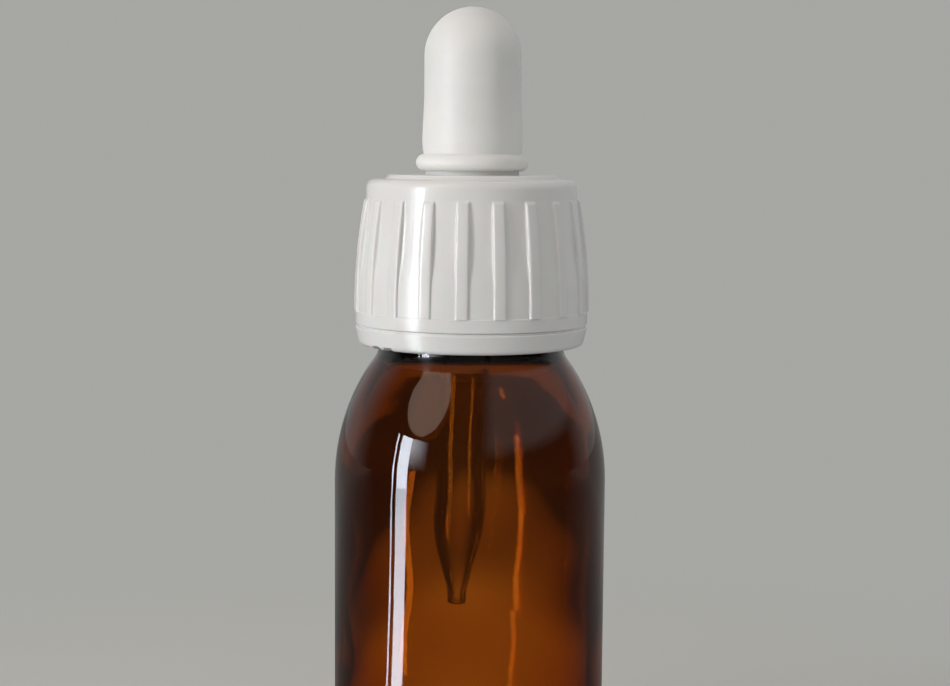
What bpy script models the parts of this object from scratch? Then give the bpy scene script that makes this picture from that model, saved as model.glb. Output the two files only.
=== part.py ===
"""Dropper bottle: round amber glass with a tamper ring, a ribbed screw cap, a rubber bulb and a pipette.

Metres, +Z up. The origin is the centre of the foot ring that the bottle stands on, and Z is the axis
of all pieces.
"""

import math

import bmesh
import bpy
from mathutils import Vector

MM = 0.001

# Glass bottle
GLASS_HEIGHT = 92.0 * MM
BODY_RADIUS = 18.75 * MM
BODY_WALL = 2.1 * MM
SHOULDER_ARC = 28.9 * MM
HEEL_ROUND = 4.0 * MM
INNER_HEEL_ROUND = 3.0 * MM
BEARING_WIDTH = 2.2 * MM
PUSH_UP = 1.6 * MM
BASE_THICKNESS = 3.0 * MM
FLOOR_CROWN = 0.8 * MM

# Glass neck
NECK_RADIUS = 12.6 * MM
NECK_FOOT_GAP = 1.0 * MM
NECK_FOOT_ROUND = 1.2 * MM
BORE_RADIUS = 9.3 * MM
LIP_ROUND = 0.8 * MM
LOCK_BEAD_RISE = 1.6 * MM
LOCK_BEAD_LAND = 0.7 * MM
LOCK_BEAD_UNDERCUT = 0.6 * MM
LOCK_BEAD_ROUND = 0.3 * MM

# Screw cap
CAP_HEIGHT = 19.65 * MM
CAP_TOP_THICKNESS = 1.35 * MM
CAP_TOP_ROUND = 1.6 * MM
CAP_WALL = 0.95 * MM
THREAD_ROOM = 0.9 * MM
DISC_INSET = 2.55 * MM
DISC_HEIGHT = 0.6 * MM
DISC_CHAMFER = 0.5 * MM
BAND_HEIGHT = 1.85 * MM
BAND_FLARE = 1.5 * MM
BAND_EDGE_ROUND = 0.15 * MM
GRIP_KNEE_HEIGHT = 8.95 * MM
GRIP_KNEE_FLARE = 0.63 * MM
GRIP_BEND_HEIGHT = 3.95 * MM
GRIP_BEND_INSET = 0.15 * MM
GRIP_STEP = 0.08 * MM
SKIRT_LEAD_IN = 1.2 * MM

# Grip ribs on the cap
RIB_COUNT = 20
RIB_FIRST_ANGLE = math.radians(-94.3)
RIB_WIDTH = 1.75 * MM
RIB_EDGE_ROUND = 0.25 * MM
RIB_TOP_MARGIN = 2.6 * MM
RIB_TOP_RISE = 0.3 * MM
RIB_FOOT_RISE = 0.2 * MM

# Tamper ring
RING_HEIGHT = 2.6 * MM
RING_TAPER = 0.55 * MM
RING_EDGE_ROUND = 0.8 * MM
RING_LIP_CLEARANCE = 0.5 * MM
RING_LIP_HEIGHT = 0.55 * MM
RING_LIP_SLOPE = 0.55 * MM
RING_NOTCH_PAIRS = 2
RING_NOTCH_ANGLE = math.radians(-144.8)
RING_NOTCH_PITCH = math.radians(9.3)
RING_NOTCH_WIDTH = 1.6 * MM
RING_NOTCH_DEPTH = 0.5 * MM

# Rubber bulb
BULB_RADIUS = 6.6 * MM
BULB_RISE = 20.98 * MM
BULB_WALL = 1.3 * MM
BULB_FOOT_FLARE = 0.28 * MM
BULB_FOOT_HEIGHT = 1.5 * MM
BULB_FLARE_HEIGHT = 7.6 * MM
BULB_NECK_INSET = 0.2 * MM
BULB_BEAD_RISE = 1.3 * MM
BULB_BEAD_ROUND = 1.15 * MM
BULB_BEAD_GAP = 0.52 * MM
BULB_LEDGE_DROP = 0.25 * MM
FLANGE_INSET = 0.8 * MM
FLANGE_THICKNESS = 1.2 * MM
FLANGE_EDGE_ROUND = 0.25 * MM

# Glass pipette
PIPETTE_LENGTH = 62.7 * MM
PIPETTE_RADIUS = 3.5 * MM
PIPETTE_WALL = 0.9 * MM
PIPETTE_HEAD_HEIGHT = 1.2 * MM
PIPETTE_HEAD_ROUND = 0.4 * MM
PIPETTE_TIP_RADIUS = 1.3 * MM
PIPETTE_TIP_BORE = 0.65 * MM
PIPETTE_TIP_LENGTH = 11.0 * MM
PIPETTE_TIP_ROUND = 20.0 * MM
PIPETTE_NOZZLE_LENGTH = 1.8 * MM

# Gaps between pieces
SEAT_GAP = 0.3 * MM
BREAK_GAP = 0.3 * MM
RADIAL_CLEARANCE = 0.3 * MM

# Facets
BOTTLE_STEPS = 48
CAP_STEPS = 60
RING_STEPS = 48
BULB_STEPS = 36
PIPETTE_STEPS = 24
FILLET_STEP = math.radians(45.0)
FILLET_SHARE = 0.9
LARGE_ARC_SEGMENTS = 6
BASE_ARC_SEGMENTS = 3
RIB_BEVEL_SEGMENTS = 1
SHARP_ANGLE = math.radians(35.0)
MERGE_DISTANCE = 0.00001
CUT_MARGIN = 1.0 * MM

# Heights of the seats, from the glass lip up and down
FLANGE_BOTTOM_Z = GLASS_HEIGHT + SEAT_GAP
FLANGE_TOP_Z = FLANGE_BOTTOM_Z + FLANGE_THICKNESS
CAP_CEILING_Z = FLANGE_TOP_Z + SEAT_GAP
CAP_FLAT_Z = CAP_CEILING_Z + CAP_TOP_THICKNESS
CAP_TOP_Z = CAP_FLAT_Z + DISC_HEIGHT
CAP_BOTTOM_Z = CAP_FLAT_Z - CAP_HEIGHT
BAND_TOP_Z = CAP_BOTTOM_Z + BAND_HEIGHT
RIB_TOP_Z = CAP_FLAT_Z - RIB_TOP_MARGIN
RIB_FOOT_Z = BAND_TOP_Z - GRIP_STEP / 2
RING_TOP_Z = CAP_BOTTOM_Z - BREAK_GAP
RING_BOTTOM_Z = RING_TOP_Z - RING_HEIGHT
RING_LIP_TOP_Z = RING_BOTTOM_Z + RING_LIP_HEIGHT
NECK_FOOT_Z = RING_BOTTOM_Z - NECK_FOOT_GAP
BULB_BEAD_Z = CAP_TOP_Z + BULB_BEAD_GAP + BULB_BEAD_ROUND
BULB_TOP_Z = BULB_BEAD_Z + BULB_RISE
BULB_LEDGE_Z = BULB_BEAD_Z - BULB_LEDGE_DROP
PIPETTE_HEAD_Z = BULB_LEDGE_Z + SEAT_GAP
PIPETTE_TOP_Z = PIPETTE_HEAD_Z + PIPETTE_HEAD_HEIGHT
PIPETTE_TIP_Z = PIPETTE_TOP_Z - PIPETTE_LENGTH

# Radii of the fits, from the glass neck outwards and from the pipette outwards
LOCK_BEAD_RADIUS = NECK_RADIUS + LOCK_BEAD_RISE
RING_BORE_RADIUS = LOCK_BEAD_RADIUS + RADIAL_CLEARANCE
RING_LIP_RADIUS = NECK_RADIUS + RING_LIP_CLEARANCE
CAP_BORE_RADIUS = NECK_RADIUS + THREAD_ROOM
CAP_CORE_RADIUS = CAP_BORE_RADIUS + CAP_WALL
BAND_RADIUS = CAP_CORE_RADIUS + BAND_FLARE
DISC_RADIUS = CAP_CORE_RADIUS - DISC_INSET
BULB_NECK_RADIUS = BULB_RADIUS - BULB_NECK_INSET
CAP_HOLE_RADIUS = BULB_NECK_RADIUS + RADIAL_CLEARANCE
FLANGE_RADIUS = NECK_RADIUS - FLANGE_INSET
BULB_HOLE_RADIUS = PIPETTE_RADIUS + RADIAL_CLEARANCE
BULB_CAVITY_RADIUS = BULB_RADIUS - BULB_WALL
PIPETTE_HEAD_RADIUS = (BULB_HOLE_RADIUS + BULB_CAVITY_RADIUS) / 2
PIPETTE_BORE_RADIUS = PIPETTE_RADIUS - PIPETTE_WALL


def clear_scene():
    for old in list(bpy.data.objects):
        bpy.data.objects.remove(old, do_unlink=True)


def new_collection(name):
    collection = bpy.data.collections.new(name)
    bpy.context.scene.collection.children.link(collection)
    return collection


def make_material(name, colour, roughness, transmission=0.0):
    material = bpy.data.materials.new(name)
    material.use_nodes = True
    shader = material.node_tree.nodes["Principled BSDF"]
    shader.inputs["Base Color"].default_value = (*colour, 1.0)
    shader.inputs["Roughness"].default_value = roughness
    shader.inputs["Metallic"].default_value = 0.0
    shader.inputs["Transmission Weight"].default_value = transmission
    return material


def arc(centre, radius, start, end, segments):
    """Points of an arc in the plane of radius and height, ends included. Degrees, 0 pointing outwards."""
    points = []
    for i in range(segments + 1):
        angle = math.radians(start + (end - start) * i / segments)
        points.append((centre[0] + radius * math.cos(angle), centre[1] + radius * math.sin(angle)))
    return points


def cap_arc(half_width, rise, top_z, segments):
    """Points of a shallow dome from its rim up to its middle on the axis."""
    radius = (half_width**2 + rise**2) / (2 * rise)
    rim = math.degrees(math.acos(half_width / radius))
    return arc((0.0, top_z - radius), radius, rim, 90.0, segments)


def fillet(before, corner, after, radius, most):
    """The arc that rounds one corner, no larger than its sides leave room for."""
    here = Vector(corner)
    back = (Vector(before) - here).normalized()
    ahead = (Vector(after) - here).normalized()
    half_angle = back.angle(ahead) / 2
    reach = min(radius / math.tan(half_angle), most)
    centre = here + (back + ahead).normalized() * (reach / math.cos(half_angle))
    first = here + back * reach - centre
    last = here + ahead * reach - centre
    start = math.atan2(first.y, first.x)
    turn = (math.atan2(last.y, last.x) - start + math.pi) % (2 * math.pi) - math.pi
    segments = max(1, math.ceil(abs(turn) / FILLET_STEP))
    return arc(centre, first.length, math.degrees(start), math.degrees(start + turn), segments)


def rounded(corners, closed=False):
    """A profile from (radius, height) corners, or (radius, height, fillet) where the corner is round."""
    points = []
    for i, corner in enumerate(corners):
        at_end = not closed and i in (0, len(corners) - 1)
        if len(corner) == 2 or at_end:
            points.append(corner[:2])
            continue
        sides = (corners[i - 1], corners[(i + 1) % len(corners)])
        shares = [FILLET_SHARE if len(side) == 2 else FILLET_SHARE / 2 for side in sides]
        most = min(share * math.dist(side[:2], corner[:2]) for side, share in zip(sides, shares))
        points += fillet(sides[0][:2], corner[:2], sides[1][:2], corner[2], most)
    return points


def turned(name, profile, steps, material, collection, seat_z=0.0, closed=False):
    """A profile turned about Z. It runs down its outer side. seat_z is the height of the object's origin."""
    count = len(profile)
    edges = [(i, i + 1) for i in range(count - 1)]
    if closed:
        edges.append((count - 1, 0))
    mesh = bpy.data.meshes.new(name)
    mesh.from_pydata([(r, 0.0, z - seat_z) for r, z in profile], edges, [])
    mesh.materials.append(material)
    obj = bpy.data.objects.new(name, mesh)
    obj.location.z = seat_z
    collection.objects.link(obj)
    screw = obj.modifiers.new("Turn", "SCREW")
    screw.axis = "Z"
    screw.steps = steps
    screw.render_steps = steps
    screw.use_merge_vertices = True
    screw.merge_threshold = MERGE_DISTANCE
    screw.use_smooth_shade = True
    return obj


def combine(obj, operation, collection):
    boolean = obj.modifiers.new(operation.title(), "BOOLEAN")
    boolean.operation = operation
    boolean.solver = "EXACT"
    boolean.operand_type = "COLLECTION"
    boolean.collection = collection


def make_helper(obj):
    obj.hide_render = True
    obj.display_type = "WIRE"


def build_bottle(parts):
    arc_centre_r = BODY_RADIUS - SHOULDER_ARC
    shoulder_rise = math.sqrt(SHOULDER_ARC**2 - (NECK_RADIUS - arc_centre_r) ** 2)
    arc_centre = (arc_centre_r, NECK_FOOT_Z - shoulder_rise)
    shoulder_end = math.degrees(math.asin(shoulder_rise / SHOULDER_ARC))
    inner_arc = SHOULDER_ARC - BODY_WALL
    inner_end = math.degrees(math.acos((BORE_RADIUS - arc_centre_r) / inner_arc))
    inner_radius = BODY_RADIUS - BODY_WALL
    floor_z = PUSH_UP + BASE_THICKNESS
    floor_rim_z = floor_z - FLOOR_CROWN
    hollow_radius = BODY_RADIUS - HEEL_ROUND - BEARING_WIDTH
    bead_low_z = RING_LIP_TOP_Z + RING_LIP_SLOPE + SEAT_GAP
    bead_land_z = bead_low_z + LOCK_BEAD_UNDERCUT
    bead_top_z = bead_land_z + LOCK_BEAD_LAND

    floor = cap_arc(inner_radius - INNER_HEEL_ROUND, FLOOR_CROWN, floor_z, BASE_ARC_SEGMENTS)[::-1]
    inner_wall = rounded(
        [
            floor[-1],
            (inner_radius, floor_rim_z, INNER_HEEL_ROUND),
            (inner_radius, arc_centre[1]),
        ]
    )[1:]
    inner_shoulder = arc(arc_centre, inner_arc, 0.0, inner_end, LARGE_ARC_SEGMENTS)[1:]
    shoulder = arc(arc_centre, SHOULDER_ARC, shoulder_end, 0.0, LARGE_ARC_SEGMENTS)
    neck = rounded(
        [
            inner_shoulder[-1],
            (BORE_RADIUS, GLASS_HEIGHT, LIP_ROUND),
            (NECK_RADIUS, GLASS_HEIGHT, LIP_ROUND),
            (NECK_RADIUS, bead_top_z + LOCK_BEAD_RISE, LOCK_BEAD_ROUND),
            (LOCK_BEAD_RADIUS, bead_top_z, LOCK_BEAD_ROUND),
            (LOCK_BEAD_RADIUS, bead_land_z, LOCK_BEAD_ROUND),
            (NECK_RADIUS, bead_low_z, LOCK_BEAD_ROUND),
            (NECK_RADIUS, NECK_FOOT_Z, NECK_FOOT_ROUND),
            shoulder[1],
        ]
    )[1:-1]
    hollow = cap_arc(hollow_radius, PUSH_UP, PUSH_UP, BASE_ARC_SEGMENTS)
    heel = rounded([shoulder[-1], (BODY_RADIUS, 0.0, HEEL_ROUND), hollow[0]])[1:-1]
    amber = make_material("amber_glass", (0.30, 0.085, 0.006), 0.03, 1.0)
    profile = floor + inner_wall + inner_shoulder + neck + shoulder[1:] + heel + hollow
    return turned("bottle", profile, BOTTLE_STEPS, amber, parts)


def build_tamper_ring(parts, cutters):
    profile = rounded(
        [
            (BAND_RADIUS, RING_TOP_Z, BAND_EDGE_ROUND),
            (BAND_RADIUS - RING_TAPER, RING_BOTTOM_Z, RING_EDGE_ROUND),
            (RING_LIP_RADIUS, RING_BOTTOM_Z),
            (RING_LIP_RADIUS, RING_LIP_TOP_Z),
            (RING_BORE_RADIUS, RING_LIP_TOP_Z + RING_LIP_SLOPE),
            (RING_BORE_RADIUS, RING_TOP_Z),
        ],
        closed=True,
    )
    white = make_material("ring_plastic", (0.78, 0.78, 0.76), 0.25)
    ring = turned("tamper_ring", profile, RING_STEPS, white, parts, RING_BOTTOM_Z, closed=True)
    for i in range(RING_NOTCH_PAIRS):
        first = RING_NOTCH_ANGLE + i * 2 * math.pi / RING_NOTCH_PAIRS
        for angle in (first, first + RING_NOTCH_PITCH):
            make_helper(ring_notch(cutters, angle))
    combine(ring, "DIFFERENCE", cutters)
    return ring


def ring_notch(cutters, angle):
    """A block that cuts the ring's lower edge from the lip outwards."""
    inner = RING_LIP_RADIUS - CUT_MARGIN
    length = BAND_RADIUS + CUT_MARGIN - inner
    height = RING_NOTCH_DEPTH + CUT_MARGIN
    middle = inner + length / 2
    mesh = bpy.data.meshes.new("ring_notch")
    shape = bmesh.new()
    bmesh.ops.create_cube(shape, size=1.0)
    bmesh.ops.scale(shape, vec=(length, RING_NOTCH_WIDTH, height), verts=shape.verts)
    shape.to_mesh(mesh)
    shape.free()
    notch = bpy.data.objects.new("ring_notch", mesh)
    centre_z = RING_BOTTOM_Z + RING_NOTCH_DEPTH - height / 2
    notch.location = (middle * math.cos(angle), middle * math.sin(angle), centre_z)
    notch.rotation_euler.z = angle
    cutters.objects.link(notch)
    return notch


def build_cap(parts, ribs):
    profile = rounded(
        [
            (CAP_HOLE_RADIUS, CAP_TOP_Z),
            (DISC_RADIUS - DISC_CHAMFER, CAP_TOP_Z),
            (DISC_RADIUS, CAP_FLAT_Z),
            (CAP_CORE_RADIUS, CAP_FLAT_Z, CAP_TOP_ROUND),
            (CAP_CORE_RADIUS, RIB_TOP_Z),
            (CAP_CORE_RADIUS + GRIP_KNEE_FLARE, BAND_TOP_Z + GRIP_KNEE_HEIGHT),
            (BAND_RADIUS - GRIP_BEND_INSET, BAND_TOP_Z + GRIP_BEND_HEIGHT),
            (BAND_RADIUS - GRIP_STEP, BAND_TOP_Z),
            (BAND_RADIUS, BAND_TOP_Z - GRIP_STEP),
            (BAND_RADIUS, CAP_BOTTOM_Z, BAND_EDGE_ROUND),
            (RING_BORE_RADIUS, CAP_BOTTOM_Z),
            (RING_BORE_RADIUS, CAP_BOTTOM_Z + SKIRT_LEAD_IN),
            (CAP_BORE_RADIUS, CAP_BOTTOM_Z + SKIRT_LEAD_IN + RING_BORE_RADIUS - CAP_BORE_RADIUS),
            (CAP_BORE_RADIUS, CAP_CEILING_Z),
            (CAP_HOLE_RADIUS, CAP_CEILING_Z),
        ]
    )
    white = make_material("cap_plastic", (0.80, 0.80, 0.78), 0.18)
    cap = turned("cap", profile, CAP_STEPS, white, parts, CAP_BOTTOM_Z, closed=True)
    rib_mesh = build_rib_mesh(white)
    for i in range(RIB_COUNT):
        rib = bpy.data.objects.new("rib", rib_mesh)
        rib.location.z = CAP_BOTTOM_Z
        rib.rotation_euler.z = RIB_FIRST_ANGLE + i * 2 * math.pi / RIB_COUNT
        ribs.objects.link(rib)
        make_helper(rib)
    combine(cap, "UNION", ribs)
    return cap


def build_rib_mesh(material):
    """One grip rib: a plate whose crest bows from the core at the top to just past the band at its foot."""
    root = CAP_CORE_RADIUS - CAP_WALL / 2
    crest_foot = BAND_RADIUS + RIB_FOOT_RISE
    foot_z = RIB_FOOT_Z - CAP_BOTTOM_Z
    height = RIB_TOP_Z - RIB_FOOT_Z
    bow = crest_foot - CAP_CORE_RADIUS - RIB_TOP_RISE
    crest_radius = (height**2 + bow**2) / (2 * bow)
    crest_turn = math.degrees(math.asin(height / crest_radius))
    centre = (crest_foot - crest_radius, foot_z)
    crest = arc(centre, crest_radius, 0.0, crest_turn, LARGE_ARC_SEGMENTS)
    outline = [(root, foot_z)] + crest + [(root, foot_z + height)]

    shape = bmesh.new()
    flank = shape.faces.new([shape.verts.new((r, -RIB_WIDTH / 2, z)) for r, z in outline])
    grown = bmesh.ops.extrude_face_region(shape, geom=[flank])
    moved = [item for item in grown["geom"] if isinstance(item, bmesh.types.BMVert)]
    bmesh.ops.translate(shape, vec=(0.0, RIB_WIDTH, 0.0), verts=moved)
    bmesh.ops.recalc_face_normals(shape, faces=shape.faces)
    exposed = [edge for edge in shape.edges if all(vert.co.x > CAP_CORE_RADIUS for vert in edge.verts)]
    outer = [edge for edge in exposed if abs(edge.verts[0].co.y - edge.verts[1].co.y) < RIB_WIDTH / 2]
    bmesh.ops.bevel(shape, geom=outer, offset=RIB_EDGE_ROUND, segments=RIB_BEVEL_SEGMENTS, affect="EDGES")
    mesh = bpy.data.meshes.new("rib")
    shape.to_mesh(mesh)
    shape.free()
    mesh.materials.append(material)
    return mesh


def build_bulb(parts):
    dome_z = BULB_TOP_Z - BULB_RADIUS
    foot_radius = BULB_RADIUS + BULB_FOOT_FLARE
    foot_z = BULB_BEAD_Z + BULB_BEAD_ROUND
    bead_middle = BULB_NECK_RADIUS + BULB_BEAD_RISE - BULB_BEAD_ROUND
    pinch = math.degrees(math.acos((foot_radius - bead_middle) / BULB_BEAD_ROUND))
    tuck = math.degrees(math.acos((BULB_NECK_RADIUS - bead_middle) / BULB_BEAD_ROUND))
    dome = arc((0.0, dome_z), BULB_RADIUS, 90.0, 0.0, LARGE_ARC_SEGMENTS)
    side = [
        (BULB_RADIUS, foot_z + BULB_FLARE_HEIGHT),
        (foot_radius, foot_z + BULB_FOOT_HEIGHT),
    ]
    bead = arc((bead_middle, BULB_BEAD_Z), BULB_BEAD_ROUND, pinch, -tuck, LARGE_ARC_SEGMENTS)
    flange = rounded(
        [
            bead[-1],
            (BULB_NECK_RADIUS, FLANGE_TOP_Z),
            (FLANGE_RADIUS, FLANGE_TOP_Z, FLANGE_EDGE_ROUND),
            (FLANGE_RADIUS, FLANGE_BOTTOM_Z, FLANGE_EDGE_ROUND),
            (BULB_HOLE_RADIUS, FLANGE_BOTTOM_Z),
            (BULB_HOLE_RADIUS, BULB_LEDGE_Z),
            (BULB_CAVITY_RADIUS, BULB_LEDGE_Z),
        ]
    )[1:]
    cavity = arc((0.0, dome_z), BULB_CAVITY_RADIUS, 0.0, 90.0, LARGE_ARC_SEGMENTS)
    white = make_material("bulb_rubber", (0.74, 0.73, 0.69), 0.55)
    profile = dome + side + bead + flange + cavity
    return turned("bulb", profile, BULB_STEPS, white, parts, FLANGE_BOTTOM_Z)


def build_pipette(parts):
    taper_z = PIPETTE_TIP_Z + PIPETTE_TIP_LENGTH
    nozzle_z = PIPETTE_TIP_Z + PIPETTE_NOZZLE_LENGTH
    profile = rounded(
        [
            (PIPETTE_BORE_RADIUS, PIPETTE_TOP_Z, PIPETTE_HEAD_ROUND),
            (PIPETTE_HEAD_RADIUS, PIPETTE_TOP_Z, PIPETTE_HEAD_ROUND),
            (PIPETTE_HEAD_RADIUS, PIPETTE_HEAD_Z, PIPETTE_HEAD_ROUND),
            (PIPETTE_RADIUS, PIPETTE_HEAD_Z),
            (PIPETTE_RADIUS, taper_z, PIPETTE_TIP_ROUND),
            (PIPETTE_TIP_RADIUS, nozzle_z, PIPETTE_TIP_ROUND),
            (PIPETTE_TIP_RADIUS, PIPETTE_TIP_Z),
            (PIPETTE_TIP_BORE, PIPETTE_TIP_Z),
            (PIPETTE_TIP_BORE, nozzle_z, PIPETTE_TIP_ROUND),
            (PIPETTE_BORE_RADIUS, taper_z, PIPETTE_TIP_ROUND),
        ],
        closed=True,
    )
    clear = make_material("clear_glass", (0.95, 0.96, 0.95), 0.02, 1.0)
    return turned("pipette", profile, PIPETTE_STEPS, clear, parts, PIPETTE_HEAD_Z, closed=True)


def settle(obj):
    """Applies the modifiers, and shades the round faces smooth up to the sharp edges."""
    graph = bpy.context.evaluated_depsgraph_get()
    mesh = bpy.data.meshes.new_from_object(obj.evaluated_get(graph))
    obj.modifiers.clear()
    obj.data = mesh
    mesh.shade_smooth()
    mesh.set_sharp_from_angle(angle=SHARP_ANGLE)


def hang_on(child, parent):
    """Parents a piece without moving it: both have only a height."""
    child.parent = parent
    child.location.z -= parent.matrix_world.translation.z


def main():
    clear_scene()
    parts = new_collection("dropper_bottle")
    cutters = new_collection("ring_cutters")
    ribs = new_collection("cap_ribs")
    bottle = build_bottle(parts)
    ring = build_tamper_ring(parts, cutters)
    pipette = build_pipette(parts)
    cap = build_cap(parts, ribs)
    bulb = build_bulb(parts)
    for piece in (bottle, ring, pipette, cap, bulb):
        settle(piece)
    for child, parent in ((ring, bottle), (pipette, bottle), (cap, pipette), (bulb, cap)):
        bpy.context.view_layer.update()
        hang_on(child, parent)


main()
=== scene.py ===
"""Looks of the dropper bottle: fine meshes and materials for its five pieces, a plain stage and the camera.

Metres, +Z up, in the frame of the solids. The camera stands on the -Y side. Angles in the plan are counted
from +X, so the side that faces the camera is at -90 degrees.
"""

import math

import bpy
from mathutils import Matrix, Vector


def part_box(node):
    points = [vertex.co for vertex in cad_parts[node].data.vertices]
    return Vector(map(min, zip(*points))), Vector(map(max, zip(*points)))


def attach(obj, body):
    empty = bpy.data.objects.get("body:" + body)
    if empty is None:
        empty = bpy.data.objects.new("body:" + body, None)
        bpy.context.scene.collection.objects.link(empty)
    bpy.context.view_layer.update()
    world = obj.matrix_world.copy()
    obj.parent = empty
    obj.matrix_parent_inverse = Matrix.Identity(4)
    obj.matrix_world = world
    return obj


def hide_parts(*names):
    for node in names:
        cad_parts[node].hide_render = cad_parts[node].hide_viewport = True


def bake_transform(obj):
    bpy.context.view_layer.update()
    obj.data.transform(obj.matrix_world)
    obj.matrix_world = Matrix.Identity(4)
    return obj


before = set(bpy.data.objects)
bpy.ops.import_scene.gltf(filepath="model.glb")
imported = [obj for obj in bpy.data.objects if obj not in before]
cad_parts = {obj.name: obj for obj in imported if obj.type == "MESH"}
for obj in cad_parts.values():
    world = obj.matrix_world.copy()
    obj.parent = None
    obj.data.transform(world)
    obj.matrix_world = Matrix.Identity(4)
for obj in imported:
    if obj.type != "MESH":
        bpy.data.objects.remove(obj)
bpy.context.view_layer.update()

MM = 0.001

# Places read from the frame
BODY_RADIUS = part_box("bottle")[1].x
GLASS_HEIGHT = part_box("bottle")[1].z
RING_BOTTOM_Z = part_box("tamper_ring")[0].z
RING_TOP_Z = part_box("tamper_ring")[1].z
CAP_BOTTOM_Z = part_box("cap")[0].z
CAP_TOP_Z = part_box("cap")[1].z
FLANGE_BOTTOM_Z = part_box("bulb")[0].z
FLANGE_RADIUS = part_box("bulb")[1].x
BULB_TOP_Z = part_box("bulb")[1].z
PIPETTE_TIP_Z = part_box("pipette")[0].z
PIPETTE_TOP_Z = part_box("pipette")[1].z
PIPETTE_HEAD_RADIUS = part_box("pipette")[1].x

# Glass bottle
BODY_WALL = 2.1 * MM
SHOULDER_ARC = 28.9 * MM
NECK_FOOT_Z = RING_BOTTOM_Z - 1.0 * MM
NECK_FOOT_ROUND = 5.0 * MM
NECK_RADIUS = 12.6 * MM
BORE_RADIUS = 9.3 * MM
LIP_ROUND = 0.8 * MM
LOCK_BEAD_RISE = 1.6 * MM
LOCK_BEAD_LOW_Z = RING_BOTTOM_Z + 1.4 * MM
LOCK_BEAD_UNDERCUT = 0.6 * MM
LOCK_BEAD_LAND = 0.7 * MM
LOCK_BEAD_ROUND = 0.3 * MM
HEEL_ROUND = 4.0 * MM
INNER_HEEL_ROUND = 3.0 * MM
BEARING_WIDTH = 2.2 * MM
PUSH_UP = 1.6 * MM
FLOOR_Z = 4.6 * MM
FLOOR_CROWN = 0.8 * MM
SEAM_ANGLES = (math.radians(10.0), math.radians(190.0))
SEAM_RISE = 0.05 * MM
SEAM_WIDTH = 0.35 * MM
KNURL_COUNT = 40
KNURL_DEPTH = 0.18 * MM
RIPPLE_RISE = 0.09 * MM
RIPPLE_WAVES = 3
RIPPLE_LENGTH = 15.8 * MM
RIPPLE_PHASE = math.radians(103.7)
RIPPLE_LOW_Z = 9.0 * MM
RIPPLE_TOP_Z = 66.0 * MM
RIPPLE_FADE = 6.0 * MM
RIPPLE_CROSS_SHARE = 0.4
RIPPLE_CROSS_PITCH = 0.6

# Screw threads
THREAD_PITCH = 3.2 * MM
THREAD_TURNS = 1.6
THREAD_LOW_Z = GLASS_HEIGHT - 9.4 * MM
THREAD_RISE = 0.65 * MM
THREAD_CREST = 0.35 * MM
THREAD_FLANK = 0.55 * MM
THREAD_RUN_OUT = 0.08
CAP_THREAD_RISE = 0.15 * MM

# Screw cap
CAP_FLAT_Z = CAP_TOP_Z - 0.6 * MM
CAP_TOP_THICKNESS = 1.35 * MM
CAP_TOP_ROUND = 1.6 * MM
CAP_BORE_RADIUS = NECK_RADIUS + 0.9 * MM
CAP_CORE_RADIUS = CAP_BORE_RADIUS + 0.95 * MM
BAND_RADIUS = CAP_CORE_RADIUS + 1.5 * MM
CAP_HOLE_RADIUS = 6.7 * MM
DISC_RADIUS = CAP_CORE_RADIUS - 2.55 * MM
DISC_CHAMFER = 0.5 * MM
DISC_ROUND = 0.3 * MM
RING_BORE_RADIUS = NECK_RADIUS + LOCK_BEAD_RISE + 0.3 * MM
SKIRT_LEAD_IN = 1.2 * MM
BAND_TOP_Z = CAP_BOTTOM_Z + 1.85 * MM
BAND_EDGE_ROUND = 0.15 * MM
GRIP_KNEE = (CAP_CORE_RADIUS + 0.63 * MM, BAND_TOP_Z + 8.95 * MM, 60.0 * MM)
GRIP_BEND = (BAND_RADIUS - 0.15 * MM, BAND_TOP_Z + 3.95 * MM, 20.0 * MM)
GRIP_STEP = 0.08 * MM
GRIP_TOP_MARGIN = 0.2 * MM
CAP_BORE_PLAIN = 0.6 * MM

# Grip ribs
RIB_COUNT = 20
RIB_FIRST_ANGLE = math.radians(-94.3)
RIB_WIDTH = 1.75 * MM
RIB_EDGE_ROUND = 0.28 * MM
RIB_ROOT_ROUND = 0.2 * MM
RIB_FLANK = 0.03 * MM
RIB_TOP_Z = CAP_FLAT_Z - 2.6 * MM
RIB_FOOT_Z = BAND_TOP_Z - GRIP_STEP / 2
RIB_TOP_RISE = 0.3 * MM
RIB_FOOT_RISE = 0.2 * MM
RIB_TOP_FADE = 0.4 * MM

# Tamper ring
RING_TAPER = 0.55 * MM
RING_EDGE_ROUND = 0.8 * MM
RING_LIP_RADIUS = NECK_RADIUS + 0.5 * MM
RING_LIP_HEIGHT = 0.55 * MM
RING_LIP_SLOPE = 0.55 * MM
NOTCH_ANGLES = tuple(math.radians(a) for a in (-144.8, -135.5, 35.2, 44.5))
NOTCH_WIDTH = 1.6 * MM
NOTCH_DEPTH = 0.5 * MM
BREAK_RIDGE = 0.24 * MM
BREAK_GROOVE = 0.22 * MM
BREAK_FLANK = 0.1 * MM
CUT_STEP = 0.04 * MM

# Rubber bulb
BULB_RADIUS = 6.6 * MM
BULB_WALL = 1.3 * MM
BULB_NECK_RADIUS = 6.4 * MM
BULB_BEAD_Z = BULB_TOP_Z - 20.98 * MM
BULB_BEAD_RISE = 1.3 * MM
BULB_BEAD_ROUND = 1.15 * MM
BULB_FOOT_FLARE = 0.28 * MM
BULB_FOOT_HEIGHT = 1.5 * MM
BULB_PINCH = 0.22 * MM
BULB_FLARE_HEIGHT = 7.6 * MM
BULB_SIDE_ROUND = 30.0 * MM
BULB_FOOT_ROUND = 10.0 * MM
BULB_LEDGE_Z = BULB_BEAD_Z - 0.25 * MM
FLANGE_THICKNESS = 1.2 * MM
FLANGE_EDGE_ROUND = 0.25 * MM

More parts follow.
